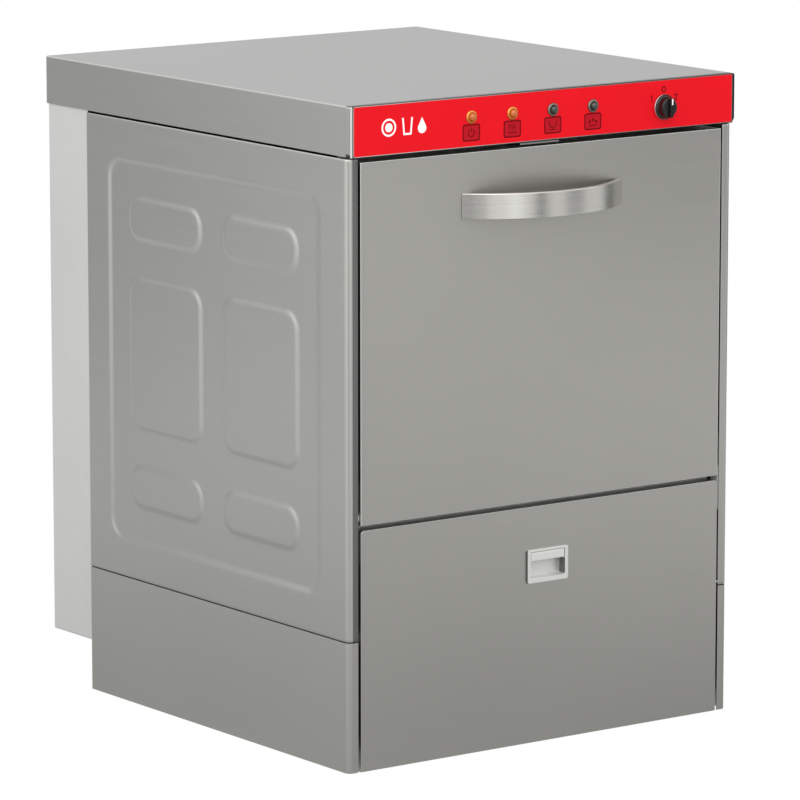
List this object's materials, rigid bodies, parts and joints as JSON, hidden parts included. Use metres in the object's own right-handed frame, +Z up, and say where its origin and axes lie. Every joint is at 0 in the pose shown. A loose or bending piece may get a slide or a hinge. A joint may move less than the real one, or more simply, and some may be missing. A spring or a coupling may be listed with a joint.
{
  "type": "commercial dishwasher",
  "caption": "Undercounter stainless dishwasher for square racks, with drop-down door, bow handle, control fascia and lift-away service panel.",
  "frame": {"origin": "centre of the footprint on the floor, handle bow and rear edge included", "axes": "+Z up, front (door and controls) faces -Y, +X is the right-hand side seen from the front"},
  "size_m": [0.6, 0.729, 0.83],
  "materials": {
    "brushed_steel": "fine lengthwise brushed stainless sheet",
    "galvanised_steel": "pale zinc-coated sheet, satin",
    "polished_steel": "stainless, satin to bright",
    "red_overlay": "printed polycarbonate film, satin gloss",
    "black_plastic": "moulded, fine texture",
    "grey_plastic": "moulded",
    "zinc_casting": "painted zinc casting",
    "white_plastic": "moulded",
    "amber_lens": "clear tinted lens",
    "green_lens": "clear tinted lens, unlit",
    "black_rubber": "moulded EPDM",
    "grey_foam": "felted insulation",
    "cast_iron": "painted motor body",
    "brass": "machined"
  },
  "bodies": {
    "cabinet": {"side_panel_left": "brushed_steel", "side_panel_right": "brushed_steel", "top_cover": "brushed_steel", "rear_cover": "galvanised_steel", "base_frame": "brushed_steel", "foot_front_left": "black_plastic", "foot_front_right": "black_plastic", "foot_rear_left": "black_plastic", "foot_rear_right": "black_plastic", "control_fascia": "black_plastic", "control_overlay": "red_overlay", "lamp_1": "amber_lens", "lamp_2": "amber_lens", "lamp_3": "green_lens", "lamp_4": "green_lens", "rotary_switch": "black_plastic", "control_box": "grey_plastic", "wash_tank": "polished_steel", "door_gasket": "black_rubber", "front_rail": "galvanised_steel", "rack_rail_left": "polished_steel", "rack_rail_right": "polished_steel", "lower_arm_post": "polished_steel", "wash_riser": "polished_steel", "surface_filter": "polished_steel", "suction_strainer": "polished_steel", "tank_heater": "polished_steel", "pump_housing": "black_plastic", "pump_motor": "cast_iron", "suction_hose": "black_rubber", "pressure_hose": "black_rubber", "boiler": "polished_steel", "rinse_aid_pump": "grey_plastic", "air_break": "white_plastic", "inlet_valve": "brass", "drain_outlet": "black_plastic", "cable_gland": "black_plastic", "hinge_bracket_left": "galvanised_steel", "hinge_bracket_right": "galvanised_steel", "door_spring_left": "polished_steel", "door_spring_right": "polished_steel", "catch_bracket": "galvanised_steel"},
    "door": {"door_outer": "brushed_steel", "door_inner": "polished_steel", "door_insulation": "grey_foam", "door_handle": "polished_steel", "hinge_arm_left": "galvanised_steel", "hinge_arm_right": "galvanised_steel"},
    "service_panel": {"service_panel": "brushed_steel", "latch_housing": "zinc_casting"},
    "latch_lever": {"latch_lever": "zinc_casting"},
    "latch_bolt": {"latch_bolt": "galvanised_steel"},
    "control_knob": {"control_knob": "black_plastic"},
    "door_catch": {"door_catch": "polished_steel"},
    "overflow_pipe": {"overflow_pipe": "white_plastic"},
    "pump_impeller": {"pump_impeller": "black_plastic"},
    "lower_wash_arm": {"lower_wash_arm": "polished_steel"},
    "lower_rinse_arm": {"lower_rinse_arm": "polished_steel"},
    "upper_wash_arm": {"upper_wash_arm": "polished_steel"},
    "upper_rinse_arm": {"upper_rinse_arm": "polished_steel"}
  },
  "joints": [
    {"name": "door_hinge", "type": "hinge", "parent": "cabinet", "child": "door", "pos_m": [0, -0.3015, 0.321], "axis": [1, 0, 0], "range_deg": [0, 90], "deforming": ["door_spring_left", "door_spring_right"]},
    {"name": "service_panel_tilt", "type": "hinge", "parent": "cabinet", "child": "service_panel", "pos_m": [0, -0.3115, 0.006], "axis": [1, 0, 0], "range_deg": [0, 25]},
    {"name": "latch_lever_pull", "type": "hinge", "parent": "service_panel", "child": "latch_lever", "pos_m": [0.006, -0.3124, 0.2463], "axis": [-1, 0, 0], "range_deg": [0, 30], "stiffness_Nm_per_rad": 0.02},
    {"name": "latch_bolt_slide", "type": "slide", "parent": "service_panel", "child": "latch_bolt", "axis": [0, 0, -1], "range_m": [0, 0.008]},
    {"name": "door_catch_lift", "type": "hinge", "parent": "cabinet", "child": "door_catch", "pos_m": [-0.005, -0.2715, 0.7655], "axis": [-1, 0, 0], "range_deg": [0, 3], "stiffness_Nm_per_rad": 0.8},
    {"name": "control_knob_turn", "type": "hinge", "parent": "cabinet", "child": "control_knob", "pos_m": [0.185, -0.3235, 0.795], "axis": [0, 1, 0], "range_deg": [-60, 60]},
    {"name": "overflow_pipe_lift", "type": "slide", "parent": "cabinet", "child": "overflow_pipe", "axis": [0, 0, 1], "range_m": [0, 0.012]},
    {"name": "pump_impeller_spin", "type": "hinge", "parent": "cabinet", "child": "pump_impeller", "pos_m": [-0.065, -0.0095, 0.1], "axis": [1, 0, 0], "continuous": true},
    {"name": "lower_wash_arm_spin", "type": "hinge", "parent": "cabinet", "child": "lower_wash_arm", "pos_m": [0, -0.0078, 0.3395], "axis": [0, 0, 1], "continuous": true},
    {"name": "lower_rinse_arm_spin", "type": "hinge", "parent": "cabinet", "child": "lower_rinse_arm", "pos_m": [0, -0.0078, 0.355], "axis": [0, 0, 1], "continuous": true},
    {"name": "upper_wash_arm_spin", "type": "hinge", "parent": "cabinet", "child": "upper_wash_arm", "pos_m": [0, -0.0078, 0.7025], "axis": [0, 0, 1], "continuous": true},
    {"name": "upper_rinse_arm_spin", "type": "hinge", "parent": "cabinet", "child": "upper_rinse_arm", "pos_m": [0, -0.0078, 0.686], "axis": [0, 0, 1], "continuous": true}
  ],
  "couplings": [
    {"joint": "latch_bolt_slide", "follows": "latch_lever_pull", "m_per_rad": 0.015}
  ]
}
